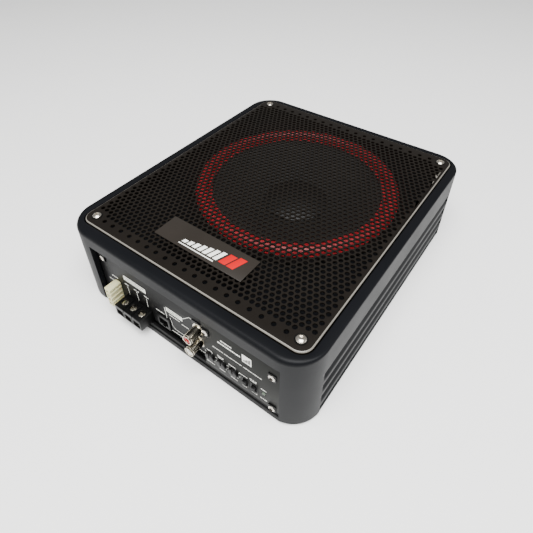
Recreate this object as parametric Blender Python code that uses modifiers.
"""A powered car subwoofer for under a seat: a ribbed housing with a grille over a shallow 8-inch woofer,
and a panel of connectors, controls and an amplifier at the front.

Metres, +Z up, +X right along the connector side, +Y to the back. The origin is on the floor, under the
middle of the housing."""

import math

import bmesh
import bpy
from mathutils import Matrix, Vector

MM = 0.001
FIT = 0.3 * MM  # the gap between two pieces that touch

# Housing
WIDTH = 237.5 * MM
DEPTH = 280.8 * MM
RIM_Z = 79.0 * MM
CORNER_R = 25.0 * MM
WALL = 4.5 * MM
TOP_EDGE_R = 2.5 * MM
BAFFLE_DROP = 17.0 * MM  # from the rim to the baffle
BAFFLE_T = 4.0 * MM
RIB_COUNT = 4
RIB_PITCH = 14.0 * MM
RIB_LOW_Z = 6.5 * MM
RIB_R = 6.5 * MM
RIB_DEPTH = 2.2 * MM
RIB_END_MARGIN = 17.0 * MM
BOSS_R = 5.0 * MM

# Base plate
BASE_T = 1.5 * MM
BASE_INSET = 1.5 * MM
LIP_T = 2.5 * MM
LIP_H = 9.3 * MM
LIP_SETBACK = 0.4 * MM
BASE_SCREW_INSET = 15.9 * MM

# Grille
SCREW_SIDE = 18.0 * MM  # from the housing's sides to the screws
SCREW_FRONT = 20.3 * MM  # from its front face to the front screws
SCREW_BACK = 16.1 * MM  # from its back face to the back screws
GRILLE_MARGIN = 9.5 * MM  # from a screw to the grille's edge
GRILLE_CORNER_R = 9.6 * MM
GRILLE_RISE = 0.8 * MM
GRILLE_T = 1.2 * MM
GRILLE_SKIRT = 5.0 * MM
POCKET_GAP = 1.0 * MM
POST_R = 4.5 * MM
POST_SINK = 3.0 * MM
BADGE_W = 87.5 * MM
BADGE_D = 23.8 * MM
BADGE_T = 1.0 * MM
BADGE_FRONT = 13.5 * MM  # from the front screws to the badge
BADGE_SHIFT_X = -3.0 * MM

# Woofer
WOOFER_FROM_SCREWS = 148.3 * MM  # from the front screws to the woofer's axis
FLANGE_R = 101.5 * MM
FLANGE_T = 2.0 * MM
FLANGE_W = 15.0 * MM  # from the flange's edge in to its hole
GASKET_T = 1.3 * MM
BASKET_T = 1.8 * MM
LEDGE_R = 68.0 * MM
LEDGE_DROP = 22.0 * MM  # from the baffle to the spider's ledge
SEAT_R = 58.0 * MM
SEAT_DROP = 30.0 * MM  # from the baffle to the top of the motor seat
SURROUND_IN = 6.5 * MM  # from the flange's edge in to the surround
SURROUND_ROLL_R = 6.0 * MM
SURROUND_T = 0.8 * MM
SURROUND_W = 12.0 * MM  # from the surround's edge in to the cone's
CONE_DROP = 18.4 * MM
CONE_T = 1.2 * MM
COIL_R = 25.7 * MM
COIL_BELOW_SEAT = 12.5 * MM
DUST_CAP_R = 31.0 * MM
DUST_CAP_RISE = 7.5 * MM
SPIDER_IN = 2.5 * MM  # from the ledge's edge in to the spider's
SPIDER_T = 0.8 * MM
TOP_PLATE_R = 52.0 * MM
TOP_PLATE_T = 5.7 * MM
MAGNET_R = 56.0 * MM
MAGNET_T = 13.0 * MM
YOKE_T = 5.0 * MM
POLE_R = 24.2 * MM
VENT_R = 8.0 * MM
WOOFER_SCREW_IN = 3.1 * MM  # from the flange's edge in to its screws
EXCURSION = 6.0 * MM

# Connector side: the opening, its panels and what sits on them. IN runs from the opening's left or
# right edge, or from the control plate's left edge, and UP from the top of the base plate's lip.
OPENING_LEFT_POST = 28.75 * MM  # the housing's front left of the opening
OPENING_RIGHT_POST = 20.15 * MM
OPENING_HEAD = 12.8 * MM  # from the opening up to the rim
PANEL_RECESS = 5.0 * MM
PANEL_T = 1.5 * MM
PLATE_W = 67.8 * MM
PLATE_UP = 0.7 * MM
PLATE_BELOW_HEAD = 1.5 * MM
PLATE_SETBACK = 1.0 * MM
KNOB_IN = (6.0 * MM, 17.0 * MM, 28.0 * MM)
KNOB_NAMES = ("gain_knob", "crossover_knob", "bass_boost_knob")
KNOB_UP = 15.2 * MM
KNOB_R = 4.2 * MM
KNOB_PROUD = 2.0 * MM
SWITCH_IN = (38.9 * MM, 46.7 * MM)
SWITCH_NAMES = ("phase_switch", "mode_switch")
SWITCH_UP = 13.2 * MM
SWITCH_W = 4.0 * MM
SWITCH_H = 4.5 * MM
SWITCH_TRAVEL = 1.5 * MM  # each way
SWITCH_PROUD = 2.2 * MM
LED_IN = 55.0 * MM
LED_UP = 14.2 * MM
LED_R = 1.5 * MM
UPPER_SCREWS_BELOW_HEAD = 12.2 * MM
LEFT_SCREWS_IN = 6.9 * MM
LEFT_SCREW_UP = 5.2 * MM
PLATE_SCREW_IN = 3.8 * MM
RIGHT_SCREW_IN = (62.3 * MM, 62.5 * MM)  # the upper one and the lower one
RIGHT_SCREW_UP = 3.7 * MM
PANEL_SCREW_R = 2.6 * MM
TERMINAL_IN = 44.1 * MM
TERMINAL_W = 31.0 * MM
TERMINAL_UP = 0.9 * MM
TERMINAL_H = 11.6 * MM
TERMINAL_PROUD = 9.0 * MM  # in front of the housing's front face
TERMINAL_BEHIND = 6.0 * MM  # behind the panel
TERMINAL_PITCH = 10.0 * MM
ENTRY_W = 7.6 * MM
ENTRY_H = 6.4 * MM
ENTRY_DEEP = 11.0 * MM
CLAMP_SCREW_R = 2.9 * MM
CLAMP_SCREW_BACK = 7.0 * MM  # from the block's front to its screws
HEADER_IN = 19.7 * MM
HEADER_W = 5.6 * MM
HEADER_UP = 2.7 * MM
HEADER_H = 20.0 * MM
HEADER_PROUD = 7.0 * MM
HEADER_WAYS = 4
REMOTE_IN = 73.5 * MM
REMOTE_UP = 3.7 * MM
REMOTE_SIDE = 14.0 * MM
REMOTE_DEEP = 15.0 * MM
REMOTE_MOUTH_W = 9.8 * MM
REMOTE_MOUTH_H = 7.4 * MM
RCA_IN = 75.4 * MM  # from the opening's right edge
RCA_UP = {"rca_white": 18.6 * MM, "rca_red": 33.4 * MM}
RCA_PROUD = 8.0 * MM
RCA_R = 4.15 * MM
RCA_BORE_R = 3.4 * MM
RCA_PIN_HOLE_R = 1.6 * MM

# Amplifier
BOARD_T = 1.6 * MM
BOARD_Z = 7.5 * MM
BOARD_W = 184.0 * MM
BOARD_D = 56.0 * MM
BOARD_BEHIND_PANEL = 5.0 * MM
HEAT_SINK_W = 120.0 * MM
HEAT_SINK_D = 9.0 * MM
HEAT_SINK_H = 34.0 * MM
FIN_COUNT = 9
CAPACITOR_R = 9.0 * MM
CAPACITOR_H = 32.0 * MM
TOROID_R = 15.0 * MM
TOROID_TUBE_R = 5.5 * MM
CAPACITOR_X = (-62.0 * MM, -38.0 * MM)
TOROID_X = 5.0 * MM
TAG_W = 24.0 * MM
TAG_D = 8.0 * MM
WIRE_R = 1.1 * MM

# Small fixings
GRILLE_HOLE_R = 1.9 * MM
BUTTON_R = 3.6 * MM
BUTTON_H = 1.9 * MM
BASE_HOLE_R = 1.8 * MM
BASE_SCREW_L = 14.0 * MM
WOOFER_HOLE_R = 1.9 * MM
PANEL_HOLE_R = 1.6 * MM
PANEL_HEAD_H = 1.8 * MM

# Worked out from the above
FRONT_Y = -DEPTH / 2
BAFFLE_Z = RIM_Z - BAFFLE_DROP
SCREW_X = WIDTH - 2 * SCREW_SIDE
SCREW_FRONT_Y = FRONT_Y + SCREW_FRONT
SCREW_BACK_Y = DEPTH / 2 - SCREW_BACK
GRILLE_Y = (SCREW_FRONT_Y + SCREW_BACK_Y) / 2
GRILLE_W = SCREW_X + 2 * GRILLE_MARGIN
GRILLE_D = SCREW_BACK_Y - SCREW_FRONT_Y + 2 * GRILLE_MARGIN
GRILLE_TOP = RIM_Z + GRILLE_RISE
HOUSING_Z = BASE_T + FIT
WOOFER_Y = SCREW_FRONT_Y + WOOFER_FROM_SCREWS
FLANGE_HOLE_R = FLANGE_R - FLANGE_W
SURROUND_R = FLANGE_R - SURROUND_IN
CONE_R = SURROUND_R - SURROUND_W
SPIDER_R = LEDGE_R - SPIDER_IN
WOOFER_SCREW_R = FLANGE_R - WOOFER_SCREW_IN
PANEL_Y = FRONT_Y + PANEL_RECESS
PANEL_BACK_Y = PANEL_Y + PANEL_T
PLATE_Y = FRONT_Y + PLATE_SETBACK
LIP_TOP = BASE_T + LIP_H
PANEL_Z = LIP_TOP + FIT
OPENING_LEFT = -WIDTH / 2 + OPENING_LEFT_POST
OPENING_RIGHT = WIDTH / 2 - OPENING_RIGHT_POST
OPENING_TOP = RIM_Z - OPENING_HEAD
PLATE_LEFT = OPENING_RIGHT - FIT - PLATE_W
PLATE_BOTTOM = LIP_TOP + PLATE_UP
PLATE_TOP = OPENING_TOP - PLATE_BELOW_HEAD
KNOB_X = [PLATE_LEFT + inward for inward in KNOB_IN]
KNOB_Z = LIP_TOP + KNOB_UP
SWITCH_X = [PLATE_LEFT + inward for inward in SWITCH_IN]
SWITCH_Z = LIP_TOP + SWITCH_UP
LED_X = PLATE_LEFT + LED_IN
LED_Z = LIP_TOP + LED_UP
UPPER_SCREW_Z = OPENING_TOP - UPPER_SCREWS_BELOW_HEAD
PANEL_SCREWS = (
    (PLATE_LEFT + RIGHT_SCREW_IN[0], UPPER_SCREW_Z),
    (PLATE_LEFT + RIGHT_SCREW_IN[1], LIP_TOP + RIGHT_SCREW_UP),
    (PLATE_LEFT + PLATE_SCREW_IN, UPPER_SCREW_Z),
    (OPENING_LEFT + LEFT_SCREWS_IN, UPPER_SCREW_Z),
    (OPENING_LEFT + LEFT_SCREWS_IN, LIP_TOP + LEFT_SCREW_UP),
)
TERMINAL_X = OPENING_LEFT + TERMINAL_IN
TERMINAL_BOTTOM = LIP_TOP + TERMINAL_UP
HEADER_X = OPENING_LEFT + HEADER_IN
HEADER_BOTTOM = LIP_TOP + HEADER_UP
REMOTE_X = OPENING_LEFT + REMOTE_IN
REMOTE_BOTTOM = LIP_TOP + REMOTE_UP
RCA_X = OPENING_RIGHT - RCA_IN
RCA_Z = {name: LIP_TOP + up for name, up in RCA_UP.items()}
FLANGE_Z = BAFFLE_Z + FIT + GASKET_T + FIT
FLANGE_TOP = FLANGE_Z + FLANGE_T
CONE_Z = FLANGE_TOP - CONE_T + FIT
SEAT_TOP = BAFFLE_Z - SEAT_DROP
SEAT_Z = SEAT_TOP - BASKET_T
LEDGE_Z = BAFFLE_Z - LEDGE_DROP
TOP_PLATE_Z = SEAT_Z - FIT - TOP_PLATE_T
MAGNET_Z = TOP_PLATE_Z - FIT - MAGNET_T
YOKE_Z = MAGNET_Z - FIT - YOKE_T
CONE_NECK_Z = CONE_Z - CONE_DROP
BOARD_Y = PANEL_BACK_Y + BOARD_BEHIND_PANEL + BOARD_D / 2
BOARD_TOP = BOARD_Z + BOARD_T
GRILLE_SCREWS = [
    (side * SCREW_X / 2, y) for y in (SCREW_FRONT_Y, SCREW_BACK_Y) for side in (-1, 1)
]
BASE_SCREWS = [
    (sx * (WIDTH / 2 - BASE_SCREW_INSET), sy * (DEPTH / 2 - BASE_SCREW_INSET))
    for sy in (-1, 1)
    for sx in (-1, 1)
]
UP = Vector((0, 0, 1))
FORWARD = Vector((0, -1, 0))

# ---- helpers -------------------------------------------------------------------------------------


def clear_scene():
    for obj in list(bpy.data.objects):
        bpy.data.objects.remove(obj, do_unlink=True)


def new_collection(name):
    collection = bpy.data.collections.new(name)
    bpy.context.scene.collection.children.link(collection)
    return collection


def material(name, color, roughness, metallic=0.0):
    made = bpy.data.materials.new(name)
    made.use_nodes = True
    shader = made.node_tree.nodes["Principled BSDF"]
    shader.inputs["Base Color"].default_value = (*color, 1.0)
    shader.inputs["Roughness"].default_value = roughness
    shader.inputs["Metallic"].default_value = metallic
    return made


def add(name, bm, look=None, smooth=False):
    """An object from a bmesh: a part with a material, or a cutter without one."""
    mesh = bpy.data.meshes.new(name)
    bm.to_mesh(mesh)
    bm.free()
    obj = bpy.data.objects.new(name, mesh)
    if look is None:
        CUTTERS.objects.link(obj)
        obj.hide_render = True
        obj.display_type = "WIRE"
        return obj
    PARTS.objects.link(obj)
    mesh.materials.append(look)
    if smooth:
        mesh.shade_smooth()
        mesh.set_sharp_from_angle(angle=math.radians(35))
    return obj


def block(low, high):
    """A box between two corners."""
    bm = bmesh.new()
    low = Vector(low)
    high = Vector(high)
    size = high - low
    place = Matrix.Translation((low + high) / 2) @ Matrix.Diagonal((*size, 1))
    bmesh.ops.create_cube(bm, size=1.0, matrix=place)
    return bm


def round_edges(bm, along, radius, segments):
    """Rounds the edges that run along one axis: 0 for X, 1 for Y, 2 for Z."""
    edges = []
    for edge in bm.edges:
        run = (edge.verts[0].co - edge.verts[1].co).normalized()
        if abs(run[along]) > 0.999:
            edges.append(edge)
    bmesh.ops.bevel(
        bm, geom=edges, offset=radius, segments=segments, profile=0.5, affect="EDGES"
    )
    return bm


def slab(width, depth, radius, low_z, high_z, center=(0, 0), segments=8):
    """An upright slab with round corners."""
    x, y = center
    bm = block(
        (x - width / 2, y - depth / 2, low_z), (x + width / 2, y + depth / 2, high_z)
    )
    return round_edges(bm, 2, radius, segments)


def rod(radius, start, end, segments=20, end_radius=None):
    """A cylinder, or a cone, between two points."""
    start = Vector(start)
    end = Vector(end)
    run = end - start
    bm = bmesh.new()
    turn = UP.rotation_difference(run).to_matrix().to_4x4()
    bmesh.ops.create_cone(
        bm,
        cap_ends=True,
        segments=segments,
        radius1=radius,
        radius2=radius if end_radius is None else end_radius,
        depth=run.length,
        matrix=Matrix.Translation((start + end) / 2) @ turn,
    )
    return bm


def boolean(obj, other, operation="DIFFERENCE"):
    modifier = obj.modifiers.new(f"{operation.lower()} {other.name}", "BOOLEAN")
    modifier.operation = operation
    modifier.object = other
    modifier.solver = "EXACT"


def cut(obj, bm):
    boolean(obj, add(f"cut_{obj.name}_{len(obj.modifiers)}", bm))


def join(obj, bm):
    boolean(obj, add(f"join_{obj.name}_{len(obj.modifiers)}", bm), "UNION")


def turned(name, profile, look, segments=36, center=(0.0, 0.0)):
    """A ring or disc about a vertical axis. The profile's (radius, height) points run down the outer
    side first; one that starts and ends on the axis makes a solid of revolution."""
    bm = bmesh.new()
    verts = [bm.verts.new((radius, 0, height)) for radius, height in profile]
    for first, second in zip(verts, verts[1:]):
        bm.edges.new((first, second))
    if profile[0][0] > 0:
        bm.edges.new((verts[-1], verts[0]))
    obj = add(name, bm, look, smooth=True)
    obj.location = (*center, 0)
    screw = obj.modifiers.new("turn", "SCREW")
    screw.steps = segments
    screw.render_steps = segments
    screw.use_merge_vertices = True
    screw.merge_threshold = 0.00001
    screw.use_smooth_shade = True
    return obj


def centre_on(obj, point):
    """Moves the object's origin to a joint's axis, and leaves its shape where it is."""
    obj.data.transform(Matrix.Translation(-Vector(point)))
    obj.location = point


def arc(center, radius, start, end, steps):
    """Points of an arc in (radius, height), from one angle to another, in degrees."""
    points = []
    for step in range(steps + 1):
        angle = math.radians(start + (end - start) * step / steps)
        points.append(
            (center[0] + radius * math.cos(angle), center[1] + radius * math.sin(angle))
        )
    return points


# ---- enclosure -----------------------------------------------------------------------------------


def rib_groove(side, height):
    """A capsule along Y, sunk into one long side."""
    length = DEPTH - 2 * RIB_END_MARGIN - 2 * RIB_R
    bm = bmesh.new()
    bmesh.ops.create_uvsphere(bm, u_segments=12, v_segments=6, radius=RIB_R)
    bmesh.ops.rotate(bm, verts=bm.verts, matrix=Matrix.Rotation(math.pi / 2, 3, "X"))
    for vert in bm.verts:
        if abs(vert.co.y) > RIB_R * 0.01:
            vert.co.y += math.copysign(length / 2, vert.co.y)
    x = side * (WIDTH / 2 + RIB_R - RIB_DEPTH)
    bmesh.ops.translate(bm, verts=bm.verts, vec=(x, 0, height))
    bmesh.ops.recalc_face_normals(bm, faces=bm.faces)
    return bm


def make_housing():
    bm = slab(WIDTH, DEPTH, CORNER_R, HOUSING_Z, RIM_Z, segments=8)
    top = [e for e in bm.edges if all(v.co.z > RIM_Z - FIT for v in e.verts)]
    bmesh.ops.bevel(
        bm, geom=top, offset=TOP_EDGE_R, segments=3, profile=0.5, affect="EDGES"
    )
    housing = add("housing", bm, SATIN_BLACK, smooth=True)
    below_baffle = BAFFLE_Z - BAFFLE_T
    cut(
        housing,
        slab(
            WIDTH - 2 * WALL,
            DEPTH - 2 * WALL,
            CORNER_R - WALL,
            -WALL,
            below_baffle,
            segments=6,
        ),
    )
    cut(
        housing,
        slab(
            GRILLE_W + 2 * POCKET_GAP,
            GRILLE_D + 2 * POCKET_GAP,
            GRILLE_CORNER_R + POCKET_GAP,
            BAFFLE_Z,
            RIM_Z + WALL,
            center=(0, GRILLE_Y),
            segments=6,
        ),
    )
    hole_r = FLANGE_HOLE_R + BASKET_T + 5 * FIT
    cut(
        housing,
        rod(
            hole_r,
            (0, WOOFER_Y, below_baffle - WALL),
            (0, WOOFER_Y, BAFFLE_Z + WALL),
            segments=48,
        ),
    )
    opening = block(
        (OPENING_LEFT, FRONT_Y - WALL, -WALL),
        (OPENING_RIGHT, PANEL_BACK_Y + FIT, OPENING_TOP),
    )
    cut(housing, opening)
    for index in range(RIB_COUNT):
        height = RIB_LOW_Z + index * RIB_PITCH
        cut(housing, rib_groove(-1, height))
        cut(housing, rib_groove(1, height))
    for x, y in GRILLE_SCREWS:
        post_top = GRILLE_TOP - GRILLE_T - FIT
        join(housing, rod(POST_R, (x, y, BAFFLE_Z - POST_SINK), (x, y, post_top), 16))
        hole_low = BAFFLE_Z + POST_SINK
        cut(housing, rod(GRILLE_HOLE_R, (x, y, hole_low), (x, y, RIM_Z + WALL), 12))
    for x, y in BASE_SCREWS:
        join(housing, rod(BOSS_R, (x, y, HOUSING_Z), (x, y, BAFFLE_Z - FIT), 16))
        cut(
            housing,
            rod(BASE_HOLE_R, (x, y, -WALL), (x, y, BASE_SCREW_L + POST_SINK), 12),
        )
    for x, y in woofer_screw_places():
        cut(
            housing,
            rod(
                WOOFER_HOLE_R,
                (x, y, below_baffle - WALL),
                (x, y, BAFFLE_Z + WALL),
                segments=10,
            ),
        )


def make_base_plate():
    bm = slab(
        WIDTH - 2 * BASE_INSET,
        DEPTH - 2 * BASE_INSET,
        CORNER_R - BASE_INSET,
        0,
        BASE_T,
        segments=8,
    )
    plate = add("base_plate", bm, BLACK_STEEL)
    lip = block(
        (OPENING_LEFT + FIT, FRONT_Y + LIP_SETBACK + BASE_INSET, BASE_T / 2),
        (OPENING_RIGHT - FIT, FRONT_Y + LIP_SETBACK + BASE_INSET + LIP_T, LIP_TOP),
    )
    join(plate, lip)
    for index, (x, y) in enumerate(BASE_SCREWS):
        head_r = BASE_HOLE_R * 2
        cut(plate, rod(head_r, (x, y, -BASE_T), (x, y, BASE_T * 2), 16))
        screw = add(
            f"base_screw_{index + 1}",
            rod(head_r - FIT, (x, y, FIT), (x, y, BASE_T), 16),
            ZINC,
        )
        shank = rod(BASE_HOLE_R - FIT, (x, y, BASE_T / 2), (x, y, BASE_SCREW_L), 12)
        join(screw, shank)


def make_grille():
    low = GRILLE_TOP - GRILLE_SKIRT
    center = (0, GRILLE_Y)
    bm = slab(GRILLE_W, GRILLE_D, GRILLE_CORNER_R, low, GRILLE_TOP, center, 6)
    top = [e for e in bm.edges if all(v.co.z > GRILLE_TOP - FIT for v in e.verts)]
    bmesh.ops.bevel(
        bm, geom=top, offset=GRILLE_T * 0.8, segments=2, profile=0.5, affect="EDGES"
    )
    grille = add("grille", bm, GRILLE_BLACK)
    cut(
        grille,
        slab(
            GRILLE_W - 2 * GRILLE_T,
            GRILLE_D - 2 * GRILLE_T,
            GRILLE_CORNER_R - GRILLE_T,
            low - GRILLE_T,
            GRILLE_TOP - GRILLE_T,
            center,
            6,
        ),
    )
    for index, (x, y) in enumerate(GRILLE_SCREWS):
        cut(grille, rod(GRILLE_HOLE_R, (x, y, low), (x, y, RIM_Z + WALL), 12))
        make_button_screw(f"grille_screw_{index + 1}", x, y)


def make_button_screw(name, x, y):
    """A button-head screw with a hexagon socket."""
    seat = GRILLE_TOP + FIT
    profile = [(0, seat + BUTTON_H), (BUTTON_R * 0.6, seat + BUTTON_H)]
    profile += [(BUTTON_R * 0.9, seat + BUTTON_H * 0.6), (BUTTON_R, seat)]
    shank_r = GRILLE_HOLE_R - FIT
    shank_low = BAFFLE_Z + 2 * POST_SINK
    profile += [(shank_r, seat), (shank_r, shank_low), (0, shank_low)]
    screw = turned(name, profile, ZINC, segments=16, center=(x, y))
    socket = rod(
        BUTTON_R * 0.45,
        (x, y, seat + BUTTON_H * 0.35),
        (x, y, seat + 2 * BUTTON_H),
        segments=6,
    )
    cut(screw, socket)


def make_badge():
    y = SCREW_FRONT_Y + BADGE_FRONT + BADGE_D / 2
    low = GRILLE_TOP + FIT
    bm = slab(BADGE_W, BADGE_D, FIT * 5, low, low + BADGE_T, (BADGE_SHIFT_X, y), 3)
    add("badge_plate", bm, BADGE_BLACK)


# ---- woofer --------------------------------------------------------------------------------------


def woofer_screw_places():
    for index in range(4):
        angle = math.radians(45 + 90 * index)
        yield (
            WOOFER_SCREW_R * math.cos(angle),
            WOOFER_Y + WOOFER_SCREW_R * math.sin(angle),
        )


def make_basket():
    wall = FLANGE_HOLE_R + BASKET_T
    profile = [
        (FLANGE_R, FLANGE_TOP),
        (FLANGE_R, FLANGE_Z),
        (wall, FLANGE_Z),
        (wall, BAFFLE_Z - BAFFLE_T),
        (LEDGE_R, LEDGE_Z),
        (SEAT_R + 2 * BASKET_T, LEDGE_Z - BASKET_T),
        (SEAT_R, SEAT_Z),
        (POLE_R * 1.5, SEAT_Z),
        (POLE_R * 1.5, SEAT_TOP),
        (SEAT_R - BASKET_T, SEAT_TOP),
        (SEAT_R + BASKET_T, LEDGE_Z),
        (LEDGE_R - BASKET_T, LEDGE_Z + BASKET_T),
        (FLANGE_HOLE_R, BAFFLE_Z - BAFFLE_T + BASKET_T),
        (FLANGE_HOLE_R, FLANGE_TOP),
    ]
    basket = turned("woofer_basket", profile, BLACK_STEEL, center=(0, WOOFER_Y))
    window_low = LEDGE_Z + 2 * BASKET_T
    window_high = BAFFLE_Z - BAFFLE_T - BASKET_T
    for index in range(6):
        angle = math.radians(60 * index)
        window = block(
            (LEDGE_R - 3 * BASKET_T, -LEDGE_R * 0.3, window_low),
            (FLANGE_R, LEDGE_R * 0.3, window_high),
        )
        bmesh.ops.rotate(
            window, verts=window.verts, matrix=Matrix.Rotation(angle, 3, "Z")
        )
        bmesh.ops.translate(window, verts=window.verts, vec=(0, WOOFER_Y, 0))
        cut(basket, window)
    gasket_profile = [
        (FLANGE_R, BAFFLE_Z + FIT + GASKET_T),
        (FLANGE_R, BAFFLE_Z + FIT),
        (wall + 4 * FIT, BAFFLE_Z + FIT),
        (wall + 4 * FIT, BAFFLE_Z + FIT + GASKET_T),
    ]
    gasket = turned("gasket", gasket_profile, FOAM, center=(0, WOOFER_Y))
    for index, (x, y) in enumerate(woofer_screw_places()):
        hole = ((x, y, BAFFLE_Z - BAFFLE_T), (x, y, FLANGE_TOP + WALL))
        cut(basket, rod(WOOFER_HOLE_R, *hole, segments=10))
        cut(gasket, rod(WOOFER_HOLE_R, *hole, segments=10))
        seat = FLANGE_TOP + FIT
        screw = add(
            f"woofer_screw_{index + 1}",
            rod(WOOFER_HOLE_R * 1.4, (x, y, seat), (x, y, seat + BUTTON_H), 12),
            BLACK_STEEL,
        )
        shank = rod(
            WOOFER_HOLE_R - FIT,
            (x, y, BAFFLE_Z - BAFFLE_T - WALL),
            (x, y, seat + BUTTON_H / 2),
            segments=10,
        )
        join(screw, shank)


def make_surround():
    """A half-roll of rubber between the flange and the cone."""
    low = FLANGE_TOP + FIT
    high = low + SURROUND_T
    middle = (SURROUND_R + CONE_R - 3 * FIT) / 2
    outer = arc((middle, high), SURROUND_ROLL_R, 0, 180, 6)
    inner = arc((middle, low), SURROUND_ROLL_R - SURROUND_T, 180, 0, 6)
    edge = CONE_R - 12 * FIT
    profile = [(SURROUND_R, high), (SURROUND_R, low)]
    profile += list(reversed(inner))
    profile += [(edge, low), (edge, high)]
    profile += list(reversed(outer))
    turned("surround", profile, SURROUND_RED, center=(0, WOOFER_Y))


def make_cone():
    neck = COIL_R + 4 * FIT
    lower = CONE_NECK_Z
    profile = [
        (CONE_R, CONE_Z),
        (CONE_R, CONE_Z - CONE_T),
        (neck, lower - CONE_T),
        (neck, lower),
        (CONE_R - 4 * CONE_T, CONE_Z),
    ]
    turned("cone", profile, CONE_BLACK, center=(0, WOOFER_Y))
    slope = CONE_DROP / (CONE_R - 4 * CONE_T - neck)
    rest = lower + (DUST_CAP_R - neck) * slope + 2 * FIT
    sphere_r = (DUST_CAP_R**2 + DUST_CAP_RISE**2) / (2 * DUST_CAP_RISE)
    half = math.degrees(math.asin(DUST_CAP_R / sphere_r))
    middle = rest + DUST_CAP_RISE - sphere_r
    top = arc((0, middle), sphere_r, 90, 90 - half, 4)
    under = arc((0, middle - CONE_T), sphere_r, 90 - half, 90, 4)
    top[0] = (0, top[0][1])
    under[-1] = (0, under[-1][1])
    under = [(r, max(z, rest)) for r, z in under[1:]]
    turned("dust_cap", top + under, CAP_BLACK, segments=28, center=(0, WOOFER_Y))
    coil_low = SEAT_TOP - COIL_BELOW_SEAT
    coil_top = lower + 2 * CONE_T
    winding_top = coil_low + MAGNET_T
    inner = COIL_R - 2 * FIT
    profile = [
        (COIL_R, coil_top),
        (COIL_R, winding_top),
        (COIL_R + 2 * FIT, winding_top),
        (COIL_R + 2 * FIT, coil_low),
        (inner, coil_low),
        (inner, coil_top),
    ]
    turned("voice_coil", profile, COPPER, segments=32, center=(0, WOOFER_Y))


def make_spider():
    """A corrugated disc that keeps the coil centred."""
    low = LEDGE_Z + BASKET_T + FIT
    inner = COIL_R + 2 * FIT
    waves = 3
    top = [(SPIDER_R, low + SPIDER_T)]
    for index in range(2 * waves + 1):
        radius = SPIDER_R - 2 * BASKET_T - (SPIDER_R - inner - 4 * BASKET_T) * index / (
            2 * waves
        )
        lift = 2 * FIT if index % 2 else 0
        top.append((radius, low + SPIDER_T + lift))
    top.append((inner, low + SPIDER_T))
    under = [(radius, height - SPIDER_T) for radius, height in top]
    turned("spider", under + top[::-1], SPIDER_YELLOW, segments=28, center=(0, WOOFER_Y))


def make_motor():
    center = (0, WOOFER_Y)
    bore = COIL_R + 6 * FIT
    plate_top = TOP_PLATE_Z + TOP_PLATE_T
    ring = [(TOP_PLATE_R, plate_top), (TOP_PLATE_R, TOP_PLATE_Z)]
    ring += [(bore, TOP_PLATE_Z), (bore, plate_top)]
    turned("top_plate", ring, ZINC, center=center)
    magnet_bore = bore + 4 * BASKET_T
    ring = [(MAGNET_R, MAGNET_Z + MAGNET_T), (MAGNET_R, MAGNET_Z)]
    ring += [(magnet_bore, MAGNET_Z), (magnet_bore, MAGNET_Z + MAGNET_T)]
    turned("magnet", ring, FERRITE, center=center)
    yoke_top = YOKE_Z + YOKE_T
    profile = [
        (TOP_PLATE_R, yoke_top),
        (TOP_PLATE_R, YOKE_Z),
        (VENT_R, YOKE_Z),
        (VENT_R, plate_top),
        (POLE_R, plate_top),
        (POLE_R, yoke_top),
    ]
    turned("yoke", profile, ZINC, center=center)


# ---- connector side ------------------------------------------------------------------------------


def make_connector_panel():
    panel = add(
        "connector_panel",
        block(
            (OPENING_LEFT + FIT, PANEL_Y, PANEL_Z),
            (OPENING_RIGHT - FIT, PANEL_BACK_Y, OPENING_TOP - FIT),
        ),
        PANEL_BLACK,
    )
    for low_x, high_x, low_z, high_z in panel_windows():
        cut(
            panel,
            block(
                (low_x - FIT, PANEL_Y - WALL, low_z - FIT),
                (high_x + FIT, PANEL_BACK_Y + WALL, high_z + FIT),
            ),
        )
    for z in RCA_Z.values():
        hole = ((RCA_X, PANEL_Y - WALL, z), (RCA_X, PANEL_BACK_Y + WALL, z))
        cut(panel, rod(RCA_R + FIT, *hole, segments=24))
    for x, z in PANEL_SCREWS:
        hole = ((x, PANEL_Y - WALL, z), (x, PANEL_BACK_Y + WALL, z))
        cut(panel, rod(PANEL_HOLE_R, *hole, segments=12))


def panel_windows():
    """(low x, high x, low z, high z) of what passes through the connector panel."""
    yield (
        TERMINAL_X - TERMINAL_W / 2,
        TERMINAL_X + TERMINAL_W / 2,
        TERMINAL_BOTTOM,
        TERMINAL_BOTTOM + TERMINAL_H,
    )
    yield (
        HEADER_X - HEADER_W / 2,
        HEADER_X + HEADER_W / 2,
        HEADER_BOTTOM,
        HEADER_BOTTOM + HEADER_H,
    )
    yield (
        REMOTE_X - REMOTE_SIDE / 2,
        REMOTE_X + REMOTE_SIDE / 2,
        REMOTE_BOTTOM,
        REMOTE_BOTTOM + REMOTE_SIDE,
    )
    margin = 3 * FIT
    shaft = KNOB_R * 0.5
    yield (
        KNOB_X[0] - shaft - margin,
        LED_X + LED_R + margin,
        SWITCH_Z - SWITCH_H - margin,
        KNOB_Z + KNOB_R + margin,
    )


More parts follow.
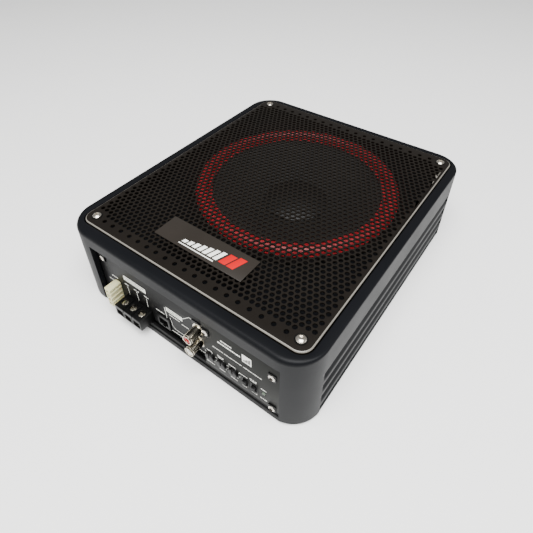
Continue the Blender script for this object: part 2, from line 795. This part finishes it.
def make_control_plate():
    back = PLATE_Y + PANEL_T
    bm = block(
        (PLATE_LEFT, PLATE_Y, PLATE_BOTTOM), (OPENING_RIGHT - FIT, back, PLATE_TOP)
    )
    plate = add("control_plate", bm, PANEL_GREY)
    for x in KNOB_X:
        hole = ((x, PLATE_Y - WALL, KNOB_Z), (x, back + WALL, KNOB_Z))
        cut(plate, rod(KNOB_R + FIT, *hole, segments=20))
    for x in SWITCH_X:
        half_w = SWITCH_W / 2 + FIT
        half_h = SWITCH_H / 2 + SWITCH_TRAVEL + FIT
        cut(
            plate,
            block(
                (x - half_w, PLATE_Y - WALL, SWITCH_Z - half_h),
                (x + half_w, back + WALL, SWITCH_Z + half_h),
            ),
        )
    cut(
        plate,
        rod(LED_R + FIT, (LED_X, PLATE_Y - WALL, LED_Z), (LED_X, back + WALL, LED_Z)),
    )
    for x, z in PANEL_SCREWS:
        if x > PLATE_LEFT:
            hole = ((x, PLATE_Y - WALL, z), (x, back + WALL, z))
            cut(plate, rod(PANEL_HOLE_R, *hole, segments=12))


def make_panel_screws():
    for index, (x, z) in enumerate(PANEL_SCREWS):
        face = PLATE_Y if x > PLATE_LEFT else PANEL_Y
        head = face - FIT
        bm = rod(PANEL_SCREW_R, (x, head, z), (x, head - PANEL_HEAD_H, z), 16)
        screw = add(f"panel_screw_{index + 1}", bm, ZINC, smooth=True)
        shank_end = PANEL_BACK_Y + 2 * PANEL_T
        shank = rod(
            PANEL_HOLE_R - FIT, (x, head - PANEL_HEAD_H / 2, z), (x, shank_end, z), 12
        )
        join(screw, shank)
        socket = rod(
            PANEL_SCREW_R * 0.5,
            (x, head - PANEL_HEAD_H * 0.5, z),
            (x, head - PANEL_HEAD_H * 2, z),
            segments=6,
        )
        cut(screw, socket)


def make_terminal_block():
    front = FRONT_Y - TERMINAL_PROUD
    low_x = TERMINAL_X - TERMINAL_W / 2
    top = TERMINAL_BOTTOM + TERMINAL_H
    bm = block(
        (low_x, front, TERMINAL_BOTTOM),
        (low_x + TERMINAL_W, PANEL_BACK_Y + TERMINAL_BEHIND, top),
    )
    body = add("terminal_block", bm, CONNECTOR_BLACK)
    entry_low = TERMINAL_BOTTOM + (TERMINAL_H - ENTRY_H) * 0.3
    screw_y = front + CLAMP_SCREW_BACK
    screw_low = entry_low + ENTRY_H + FIT
    for index in range(3):
        x = TERMINAL_X + (index - 1) * TERMINAL_PITCH
        cut(
            body,
            block(
                (x - ENTRY_W / 2, front - WALL, entry_low),
                (x + ENTRY_W / 2, front + ENTRY_DEEP, entry_low + ENTRY_H),
            ),
        )
        well = ((x, screw_y, screw_low), (x, screw_y, top + WALL))
        cut(body, rod(CLAMP_SCREW_R + FIT, *well, segments=20))
        head = rod(
            CLAMP_SCREW_R, (x, screw_y, screw_low + FIT), (x, screw_y, top - FIT), 20
        )
        screw = add(f"terminal_screw_{index + 1}", head, NICKEL, smooth=True)
        slot = block(
            (x - FIT, screw_y - WALL, top - 4 * FIT), (x + FIT, screw_y + WALL, top + FIT)
        )
        cut(screw, slot)


def make_header():
    """The speaker-level input: a column of square sockets."""
    front = FRONT_Y - HEADER_PROUD
    low_x = HEADER_X - HEADER_W / 2
    bm = block(
        (low_x, front, HEADER_BOTTOM),
        (
            low_x + HEADER_W,
            PANEL_BACK_Y + TERMINAL_BEHIND,
            HEADER_BOTTOM + HEADER_H,
        ),
    )
    body = add("speaker_input_header", bm, NYLON)
    pitch = HEADER_H / HEADER_WAYS
    hole = HEADER_W * 0.6
    for index in range(HEADER_WAYS):
        z = HEADER_BOTTOM + pitch * (index + 0.5)
        cut(
            body,
            block(
                (HEADER_X - hole / 2, front - WALL, z - hole / 2),
                (HEADER_X + hole / 2, front + 2 * WALL, z + hole / 2),
            ),
        )


def make_remote_jack():
    """The socket for a wired level control."""
    front = PANEL_Y - PANEL_T
    low_x = REMOTE_X - REMOTE_SIDE / 2
    bm = block(
        (low_x, front, REMOTE_BOTTOM),
        (low_x + REMOTE_SIDE, front + REMOTE_DEEP, REMOTE_BOTTOM + REMOTE_SIDE),
    )
    body = add("remote_jack", bm, CONNECTOR_BLACK)
    low_z = REMOTE_BOTTOM + (REMOTE_SIDE - REMOTE_MOUTH_H) / 2
    deep = front + REMOTE_DEEP - PANEL_T
    half = REMOTE_MOUTH_W / 2
    cut(
        body,
        block(
            (REMOTE_X - half, front - WALL, low_z),
            (REMOTE_X + half, deep, low_z + REMOTE_MOUTH_H),
        ),
    )


def make_rca_jacks():
    low = min(RCA_Z.values()) - RCA_R - PANEL_T
    high = max(RCA_Z.values()) + RCA_R + PANEL_T
    half = RCA_R + PANEL_T
    start = PANEL_BACK_Y + FIT
    bm = block((RCA_X - half, start, low), (RCA_X + half, start + 3 * RCA_R, high))
    add("rca_block", bm, CONNECTOR_BLACK)
    tip = FRONT_Y - RCA_PROUD
    looks = {"rca_white": WHITE, "rca_red": RED}
    for name, z in RCA_Z.items():
        bm = rod(RCA_R, (RCA_X, tip, z), (RCA_X, PANEL_BACK_Y, z), 24)
        barrel = add(f"{name}_barrel", bm, NICKEL, smooth=True)
        bore = ((RCA_X, tip - WALL, z), (RCA_X, PANEL_BACK_Y + WALL, z))
        cut(barrel, rod(RCA_BORE_R, *bore, segments=24))
        face = tip + FIT
        bm = rod(RCA_BORE_R - FIT, (RCA_X, face, z), (RCA_X, PANEL_BACK_Y, z), 20)
        insert = add(f"{name}_insert", bm, looks[name], smooth=True)
        hole = ((RCA_X, face - WALL, z), (RCA_X, face + 2 * RCA_R, z))
        cut(insert, rod(RCA_PIN_HOLE_R, *hole, segments=12))


def make_controls():
    """The knobs, the slide switches, the lamp, and the board they stand on."""
    board_y = PANEL_BACK_Y + TERMINAL_BEHIND
    for name, x in zip(KNOB_NAMES, KNOB_X):
        front = PLATE_Y - KNOB_PROUD
        bm = rod(KNOB_R, (x, front, KNOB_Z), (x, PLATE_Y + PANEL_T, KNOB_Z), 20)
        knob = add(name, bm, KNOB_BLACK, smooth=True)
        shaft_end = board_y - FIT
        shaft = rod(KNOB_R * 0.5, (x, PLATE_Y, KNOB_Z), (x, shaft_end, KNOB_Z), 16)
        join(knob, shaft)
        slot = block(
            (x - 2 * FIT, front - WALL, KNOB_Z - KNOB_R * 0.1),
            (x + 2 * FIT, front + KNOB_PROUD / 2, KNOB_Z + 2 * KNOB_R),
        )
        cut(knob, slot)
        centre_on(knob, (x, front, KNOB_Z))
    for name, x in zip(SWITCH_NAMES, SWITCH_X):
        half = SWITCH_W / 2
        button = block(
            (x - half, PLATE_Y - SWITCH_PROUD, SWITCH_Z - SWITCH_H / 2),
            (x + half, board_y - FIT, SWITCH_Z + SWITCH_H / 2),
        )
        obj = add(name, button, KNOB_BLACK)
        centre_on(obj, (x, PLATE_Y, SWITCH_Z))
    lens = rod(LED_R, (LED_X, PLATE_Y - FIT, LED_Z), (LED_X, board_y - FIT, LED_Z), 16)
    add("power_led", lens, LED_GREEN, smooth=True)
    margin = KNOB_R
    board = block(
        (KNOB_X[0] - KNOB_R, board_y, BOARD_TOP + margin),
        (LED_X + margin, board_y + BOARD_T, KNOB_Z + 3 * margin),
    )
    add("control_board", board, BOARD_GREEN)


# ---- amplifier -----------------------------------------------------------------------------------


def make_amplifier():
    low_y = BOARD_Y - BOARD_D / 2
    high_y = BOARD_Y + BOARD_D / 2
    half = BOARD_W / 2
    add(
        "amp_board",
        block((-half, low_y, BOARD_Z), (half, high_y, BOARD_TOP)),
        BOARD_GREEN,
    )
    sink_low = BOARD_TOP + FIT
    sink = add(
        "heat_sink",
        block(
            (-HEAT_SINK_W / 2, high_y - HEAT_SINK_D, sink_low),
            (HEAT_SINK_W / 2, high_y, sink_low + HEAT_SINK_H),
        ),
        ALUMINIUM,
    )
    pitch = HEAT_SINK_W / FIN_COUNT
    for index in range(FIN_COUNT):
        x = -HEAT_SINK_W / 2 + pitch * (index + 0.5)
        groove = block(
            (x - pitch / 4, high_y - HEAT_SINK_D * 0.6, sink_low - WALL),
            (x + pitch / 4, high_y + WALL, sink_low + HEAT_SINK_H + WALL),
        )
        cut(sink, groove)
    for index, x in enumerate(CAPACITOR_X):
        can = rod(
            CAPACITOR_R,
            (x, BOARD_Y, BOARD_TOP + FIT),
            (x, BOARD_Y, BOARD_TOP + FIT + CAPACITOR_H),
            segments=24,
        )
        add(f"capacitor_{index + 1}", can, CAPACITOR_BLUE, smooth=True)
    middle = TOROID_R - TOROID_TUBE_R
    height = BOARD_TOP + FIT + TOROID_TUBE_R
    ring = arc((middle, height), TOROID_TUBE_R, 0, -315, 7)
    turned("toroid_coil", ring, COPPER, segments=18, center=(TOROID_X, BOARD_Y))


def make_speaker_terminal():
    """The tag strip under the basket's ledge, and the two wires from the amplifier to it."""
    strip_top = LEDGE_Z - BASKET_T - FIT
    strip_low = strip_top - BASKET_T
    back = WOOFER_Y - SEAT_R - 2 * BASKET_T - 3 * FIT
    strip = block((-TAG_W / 2, back - TAG_D, strip_low), (TAG_W / 2, back, strip_top))
    add("speaker_terminal", strip, TAG_BROWN)
    sink_back = BOARD_Y + BOARD_D / 2
    start_y = sink_back - HEAT_SINK_D
    bend = 4 * WIRE_R
    for name, side, look in WIRES:
        start_x = side * (HEAT_SINK_W / 2 + bend)
        end_x = side * TAG_W / 3
        middle_z = (BOARD_TOP + strip_low) / 2
        points = [
            (start_x, start_y, BOARD_TOP + FIT),
            (start_x, start_y, middle_z),
            (start_x, start_y + bend, middle_z + bend),
            (start_x, sink_back + bend, middle_z + bend),
            (end_x + side * bend, sink_back + 3 * bend, middle_z + bend),
            (end_x, back - TAG_D / 2, strip_low - bend / 2),
            (end_x, back - TAG_D / 2, strip_low - FIT),
        ]
        curve = bpy.data.curves.new(name, "CURVE")
        curve.dimensions = "3D"
        spline = curve.splines.new("POLY")
        spline.points.add(len(points) - 1)
        for target, point in zip(spline.points, points):
            target.co = (*point, 1)
        curve.bevel_depth = WIRE_R
        curve.bevel_resolution = 2
        curve.use_fill_caps = True
        wire = bpy.data.objects.new(name, curve)
        PARTS.objects.link(wire)
        curve.materials.append(look)


# ---- the whole ------------------------------------------------------------------------------------

clear_scene()
PARTS = new_collection("powered_subwoofer")
CUTTERS = new_collection("cutters")

SATIN_BLACK = material("satin black plastic", (0.022, 0.022, 0.024), 0.42)
BLACK_STEEL = material("black coated steel", (0.012, 0.012, 0.013), 0.5, 0.6)
GRILLE_BLACK = material("powder-coated steel", (0.02, 0.019, 0.018), 0.5, 0.3)
BADGE_BLACK = material("black badge", (0.01, 0.01, 0.01), 0.3)
ZINC = material("zinc-plated steel", (0.62, 0.6, 0.55), 0.3, 1.0)
NICKEL = material("nickel-plated brass", (0.75, 0.72, 0.66), 0.2, 1.0)
FOAM = material("black foam", (0.02, 0.02, 0.02), 0.95)
SURROUND_RED = material("dark red rubber", (0.17, 0.012, 0.018), 0.6)
CONE_BLACK = material("black paper cone", (0.012, 0.012, 0.012), 0.7)
CAP_BLACK = material("black dust cap", (0.012, 0.012, 0.012), 0.6)
COPPER = material("copper winding", (0.72, 0.3, 0.14), 0.35, 1.0)
SPIDER_YELLOW = material("resin-stiffened cloth", (0.55, 0.38, 0.12), 0.9)
FERRITE = material("ferrite", (0.04, 0.04, 0.042), 0.7)
PANEL_BLACK = material("black panel", (0.012, 0.012, 0.013), 0.45)
PANEL_GREY = material("dark grey panel", (0.055, 0.055, 0.05), 0.45, 0.3)
CONNECTOR_BLACK = material("black connector plastic", (0.01, 0.01, 0.01), 0.4)
KNOB_BLACK = material("black knob plastic", (0.008, 0.008, 0.008), 0.4)
NYLON = material("cream nylon", (0.66, 0.62, 0.45), 0.45)
WHITE = material("white plastic", (0.85, 0.84, 0.8), 0.4)
RED = material("red plastic", (0.5, 0.02, 0.02), 0.4)
LED_GREEN = material("lamp lens", (0.1, 0.35, 0.12), 0.2)
BOARD_GREEN = material("green circuit board", (0.02, 0.12, 0.05), 0.5)
ALUMINIUM = material("extruded aluminium", (0.6, 0.6, 0.61), 0.4, 1.0)
CAPACITOR_BLUE = material("capacitor sleeve", (0.02, 0.04, 0.12), 0.35)
TAG_BROWN = material("laminate tag strip", (0.2, 0.09, 0.03), 0.6)

WIRES = (("speaker_wire_plus", 1, RED), ("speaker_wire_minus", -1, PANEL_BLACK))

make_housing()
make_base_plate()
make_grille()
make_badge()
make_basket()
make_surround()
make_cone()
make_spider()
make_motor()
make_connector_panel()
make_control_plate()
make_panel_screws()
make_terminal_block()
make_header()
make_remote_jack()
make_rca_jacks()
make_controls()
make_amplifier()
make_speaker_terminal()
